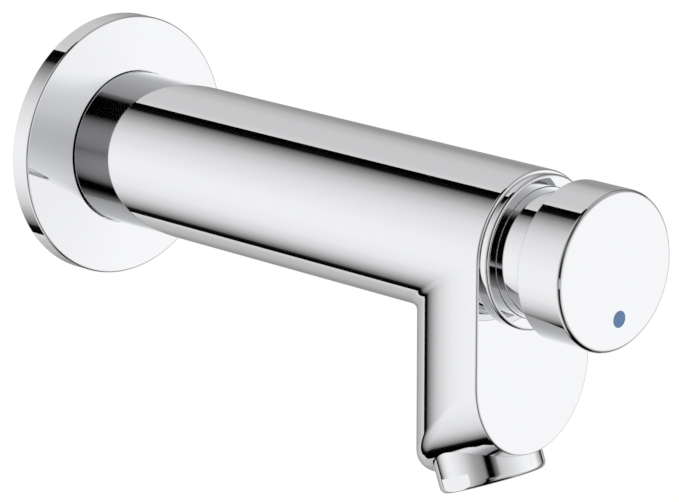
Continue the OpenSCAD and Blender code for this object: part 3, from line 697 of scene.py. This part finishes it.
cap = turned(
    "button_cap_turned",
    [(0, CAP_INNER, 0), (CAP_BORE, CAP_INNER, 0), (CAP_BORE, CAP_REAR, 0.15), (CAP_R, CAP_REAR, 0.25),
     (CAP_R, BUTTON_S - CAP_CHAMFER, 1.0), (CAP_R - CAP_CHAMFER, BUTTON_S, 1.0), (0, BUTTON_S, 0)],
    chrome, 220)
for piece, node in ((sleeve, "button_sleeve"), (cap, "button_cap")):
    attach(piece, "push_button")
    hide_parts(node)
enamel, tree, shader, place = material("blue_enamel", (0.09, 0.18, 0.37), 0, 0.25)
marks = noise(tree, place, 1500, 3)
tree.links.new(tinted(tree, marks, (0.085, 0.172, 0.352), (0.098, 0.19, 0.388)), shader.inputs["Base Color"])
SPOT_R, SPOT_REAR, SPOT_FRONT, SPOT_X, SPOT_Z = 2.2, 187.2, 187.86, 1.5, -12.5
marker = turned(
    "cold_marker_spot",
    [(0, SPOT_REAR, 0), (SPOT_R, SPOT_REAR, 0), (SPOT_R, SPOT_FRONT, 0.05), (0, SPOT_FRONT, 0)],
    enamel, 48, lambda r, s, a: (r * math.cos(a) + SPOT_X, -s, r * math.sin(a) + SPOT_Z))
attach(marker, "push_button")
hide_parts("cold_marker")


# The aerator's housing is a turned and chromed brass sleeve that screws up into the spout. Its lip carries
# the screen and the jet former, and two flats are milled across its lower end for a spanner.
HOUSING_R, HOUSING_BORE, HOUSING_THREAD_R, LOWER_ROUND = 14.1, 10.6, 12.0, 1.8
HOUSING_LIP_R, HOUSING_LIP, FLAT_X, FLAT_H = 9.6, 1.2, 13.2, 4.0
JAW, JAW_LENGTH = 10.0, 40.0
housing = turned(
    "aerator_housing_turned",
    [(HOUSING_LIP_R, 0, 0.3), (HOUSING_R, 0, LOWER_ROUND), (HOUSING_R, AER_SHOULDER, 0),
     (HOUSING_THREAD_R, AER_SHOULDER, 0), (HOUSING_THREAD_R, AER_TOP, 0), (HOUSING_BORE, AER_TOP, 0),
     (HOUSING_BORE, HOUSING_LIP, 0), (HOUSING_LIP_R, HOUSING_LIP, 0)],
    chrome, 200, outlet)
outlet_turn = Matrix.Rotation(-TILT, 4, "X")
outlet_place = Matrix.Translation((0, -AER_S * MM, -AER_Z * MM)) @ outlet_turn
jaws = bmesh.new()
for side in (-1, 1):
    jaw = Matrix.Translation((side * (FLAT_X + JAW / 2) * MM, 0, (FLAT_H - JAW / 2) * MM))
    size = Matrix.Diagonal((JAW * MM, JAW_LENGTH * MM, JAW * MM, 1))
    bmesh.ops.create_cube(jaws, matrix=outlet_place @ jaw @ size)
mesh = bpy.data.meshes.new("jaws")
jaws.to_mesh(mesh)
jaws.free()
spanner = bpy.data.objects.new("spanner", mesh)
bpy.context.scene.collection.objects.link(spanner)
carved(housing, [spanner])


def housing_guess(place):
    """Normals of the turned housing, before its flats were cut."""
    turn = np.array(outlet_turn.to_3x3())
    p = (place / MM - np.array([0, -AER_S, -AER_Z])) @ turn
    r = np.maximum(np.hypot(p[:, 0], p[:, 1]), 1e-9)
    out = np.where(r > (HOUSING_BORE + HOUSING_THREAD_R) / 2, 1.0, -1.0)
    up = np.zeros_like(r)
    low = (p[:, 2] < LOWER_ROUND) & (r > HOUSING_R - LOWER_ROUND)
    out = np.where(low, (r - HOUSING_R + LOWER_ROUND) / LOWER_ROUND, out)
    up = np.where(low, p[:, 2] / LOWER_ROUND - 1, up)
    n = np.stack([p[:, 0] / r * out, p[:, 1] / r * out, up], 1) @ turn.T
    return n / np.linalg.norm(n, axis=1, keepdims=True)


true_normals(housing.data, housing_guess, 0.99)
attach(housing, "tap_body")
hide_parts("aerator_housing")


# The outlet's screen is a stainless disc punched with round cells in rings. It lies on the housing's lip and
# is held down by the jet former above it.
SCREEN_R, SCREEN_T, CELL_R, CELL_PITCH = 10.56, 2.4, 1.05, 2.5
cells = [(0, 0, 0)]
for ring in (1, 2, 3):
    for k in range(6 * ring):
        a = 2 * math.pi * k / (6 * ring)
        cells.append((ring * CELL_PITCH * math.cos(a) * MM, ring * CELL_PITCH * math.sin(a) * MM, 0))
mesh = bpy.data.meshes.new("outlet_screen")
mesh.from_pydata(cells, [], [])
screen = bpy.data.objects.new("outlet_screen", mesh)
bpy.context.scene.collection.objects.link(screen)
tree, given = node_tree("perforated", "Radius", "Thickness", "Cell")
disc = placed(tree, "GeometryNodeMeshCylinder", Vertices=96, Radius=given["Radius"], Depth=given["Thickness"])
punch = placed(tree, "GeometryNodeMeshCylinder", Vertices=20, Radius=given["Cell"],
               Depth=sums(tree, "MULTIPLY", given["Thickness"], 2.0))
punches = placed(tree, "GeometryNodeInstanceOnPoints", Points=given["Geometry"],
                 Instance=punch.outputs["Mesh"])
punches = placed(tree, "GeometryNodeRealizeInstances", Geometry=punches.outputs["Instances"])
holed = tree.nodes.new("GeometryNodeMeshBoolean")
holed.operation, holed.solver = "DIFFERENCE", "EXACT"
tree.links.new(disc.outputs["Mesh"], holed.inputs["Mesh 1"])
tree.links.new(punches.outputs["Geometry"], holed.inputs["Mesh 2"])
finished(tree, holed.outputs["Mesh"], given["Finish"])
grown(screen, tree, 40, Radius=SCREEN_R * MM, Thickness=SCREEN_T * MM, Cell=CELL_R * MM, Finish=steel)
screen.data.transform(outlet_place @ Matrix.Translation((0, 0, (HOUSING_LIP + SCREEN_T / 2) * MM)))
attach(screen, "tap_body")
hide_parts("aerator_screen")


# The studio: a pale floor far below the tap, and a white room with a wall of light at the left, one behind at
# the right and one in front. They meet in dark seams over and under the tap, and leave a dark gap at the
# camera. Only mirror images show them; the rest is plain white light.
FLOOR_Z, FLOOR_SIDE = -0.6, 9.0
floor_mesh = bpy.data.meshes.new("floor")
corners = [(-1, -1), (1, -1), (1, 1), (-1, 1)]
floor_mesh.from_pydata([(x * FLOOR_SIDE, y * FLOOR_SIDE, FLOOR_Z) for x, y in corners], [], [(0, 1, 2, 3)])
floor = bpy.data.objects.new("floor", floor_mesh)
bpy.context.scene.collection.objects.link(floor)
pale, tree, shader, place = material("pale_floor", (0.9, 0.9, 0.9), 0, 0.9)
rays = tree.nodes.new("ShaderNodeLightPath")
white = tree.nodes.new("ShaderNodeEmission")
mix = tree.nodes.new("ShaderNodeMixShader")
tree.links.new(rays.outputs["Is Camera Ray"], mix.inputs["Fac"])
tree.links.new(shader.outputs["BSDF"], mix.inputs[1])
tree.links.new(white.outputs["Emission"], mix.inputs[2])
tree.links.new(mix.outputs["Shader"], tree.nodes["Material Output"].inputs["Surface"])
floor_mesh.materials.append(pale)
floor.visible_glossy = False

world = bpy.data.worlds.new("studio")
bpy.context.scene.world = world
world.use_nodes = True
tree = world.node_tree
sky = tree.nodes["Background"]
sky.inputs["Color"].default_value = (1, 1, 1, 1)
place = tree.nodes.new("ShaderNodeTexCoord")
axis = tree.nodes.new("ShaderNodeSeparateXYZ")
tree.links.new(place.outputs["Generated"], axis.inputs["Vector"])


def shade(value, stops):
    """Light by a value from 0 to 1, through (place, strength) stops."""
    made = tree.nodes.new("ShaderNodeValToRGB")
    ramp = made.color_ramp
    while len(ramp.elements) < len(stops):
        ramp.elements.new(0.5)
    for element, (at, strength) in zip(ramp.elements, stops):
        element.position = at
        element.color = (strength, strength, strength, 1)
    tree.links.new(value, made.inputs["Fac"])
    return made.outputs["Color"]


def between(fac, a, b):
    """The light a or b by a factor from 0 to 1."""
    made = tree.nodes.new("ShaderNodeMix")
    made.data_type = "FLOAT"
    for socket, value in (("Factor", fac), ("A", a), ("B", b)):
        if isinstance(value, (int, float)):
            made.inputs[socket].default_value = value
        else:
            tree.links.new(value, made.inputs[socket])
    return made.outputs["Result"]


def times(a, b):
    """The product of two lights or places."""
    return sums(tree, "MULTIPLY", a, b)


def above(value, start):
    """How far a value is above a start, or 0."""
    return sums(tree, "MAXIMUM", sums(tree, "SUBTRACT", value, start), 0.0)


x, y, z = (axis.outputs[name] for name in "XYZ")
up = sums(tree, "MAXIMUM", z, 0.0)
down = sums(tree, "MAXIMUM", times(z, -1.0), 0.0)
ahead = sums(tree, "MULTIPLY_ADD", y, -0.5, 0.5)
turn = sums(tree, "ARCTAN2", x, times(y, -1.0))
round_about = sums(tree, "MULTIPLY_ADD", turn, 0.5 / math.pi, 0.5)


def facing(degrees):
    """The place on the round of the room of a direction to the right of straight ahead of the tap."""
    return degrees / 360 + 0.5


def walled(place, stops):
    """Light by a place on the round of the room, through (degrees, strength) stops."""
    return shade(place, [(facing(degrees), strength) for degrees, strength in stops])


# Left wall of light: dark where it meets the wall behind the tap, and fading towards the camera.
steeper = sums(tree, "MULTIPLY_ADD", above(down, 0.7), 1.6, 1.0)
across = sums(tree, "SUBTRACT", times(times(x, -1.0), steeper), times(up, 0.09))
left = shade(across, [(0.0, 0.0), (0.09, 0.006), (0.13, 0.16), (0.23, 0.40), (0.37, 0.68), (0.53, 0.87),
                      (0.7, 0.95), (1.0, 0.98)])
left = times(left, shade(up, [(0.0, 1.0), (0.3, 0.9), (0.65, 0.82), (1.0, 0.8)]))
lean = times(sums(tree, "ABSOLUTE", z), 14 / 360)
fade = walled(
    sums(tree, "SUBTRACT", round_about, lean),
    [(-140, 1.0), (-127, 0.94), (-112, 0.85), (-97, 0.71), (-82, 0.48), (-75, 0.38), (-62, 0.29), (-60, 0.24),
     (-58, 0.15), (-56, 0.03), (-55, 0.0)])
left = times(left, fade)
# Right wall of light behind the tap, brightest at the seam.
under = shade(x, [(0.0, 0.70), (0.07, 0.67), (0.12, 0.57), (0.3, 0.49), (0.5, 0.32), (0.65, 0.28),
                  (1.0, 0.45)])
over = shade(x, [(0.0, 0.71), (0.1, 0.63), (0.45, 0.61), (0.6, 0.52), (0.72, 0.31), (1.0, 0.45)])
right = between(sums(tree, "GREATER_THAN", z, 0.0), under, over)
# Front wall of light, from a dark gap at the camera to the right.
gap = sums(tree, "ADD", times(above(up, 0.4), 60 / 360), times(above(down, 0.5), 20 / 360))
front = walled(
    sums(tree, "SUBTRACT", round_about, gap),
    [(-43, 0.0), (-40, 0.04), (-37, 0.13), (-34, 0.2), (-31, 0.28), (-28, 0.52), (-20, 0.63), (-7, 0.71),
     (8, 0.8), (23, 0.9), (44, 1.0)])
high = sums(tree, "MULTIPLY_ADD", x, 0.5, z)
front = times(front, shade(high, [(0.55, 1.0), (0.75, 0.62), (0.85, 0.5), (1.0, 0.45)]))
low = shade(down, [(0.5, 1.0), (0.75, 0.6), (0.84, 0.6), (0.89, 0.0)])
front = times(front, low)
right = between(shade(y, [(0.2, 0.0), (0.4, 1.0)]), times(right, low), right)
right = between(shade(ahead, [(0.3, 0.0), (0.65, 1.0)]), right, front)
seam = [(66, 1.0), (75, 0.7), (84, 0.55), (93, 0.17), (95, 0.0), (100, 0.0), (103, 1.0)]
right = times(right, walled(round_about, seam))
front = times(front, sums(tree, "LESS_THAN", y, 0.0))
left = between(sums(tree, "GREATER_THAN", round_about, facing(-45)), left, front)
# A pale card under the lens lights the dark gap there from below.
card = times(
    walled(round_about, [(-47, 0.0), (-46.2, 0.5), (-38, 0.5), (-36, 0.0)]),
    shade(down, [(0.1, 0.0), (0.16, 1.0), (0.28, 1.0), (0.32, 0.0)]))
left = sums(tree, "MAXIMUM", left, card)
edge = sums(tree, "MULTIPLY_ADD", down, 0.03, above(down, 0.78))
room = between(sums(tree, "GREATER_THAN", x, edge), left, right)
rays = tree.nodes.new("ShaderNodeLightPath")
tree.links.new(between(rays.outputs["Is Glossy Ray"], 1.0, room), sky.inputs["Strength"])


# The camera stands to the left of the tap and a little above it, with a long lens, as in the photograph. Its
# place and lens are fitted to the ellipses of the rosette, the tube's end and the button.
camera_data = bpy.data.cameras.new("camera")
camera = bpy.data.objects.new("camera", camera_data)
bpy.context.scene.collection.objects.link(camera)
camera.location = (-0.74015, -0.84314, 0.27875)
aim = Vector((-0.0071, -0.0974, -0.0111))
camera.rotation_euler = (aim - camera.location).to_track_quat("-Z", "Y").to_euler()
camera_data.lens = 219.7
camera_data.sensor_width = 36
camera_data.clip_end = 50
bpy.context.scene.camera = camera
bpy.context.scene.view_settings.view_transform = "Standard"
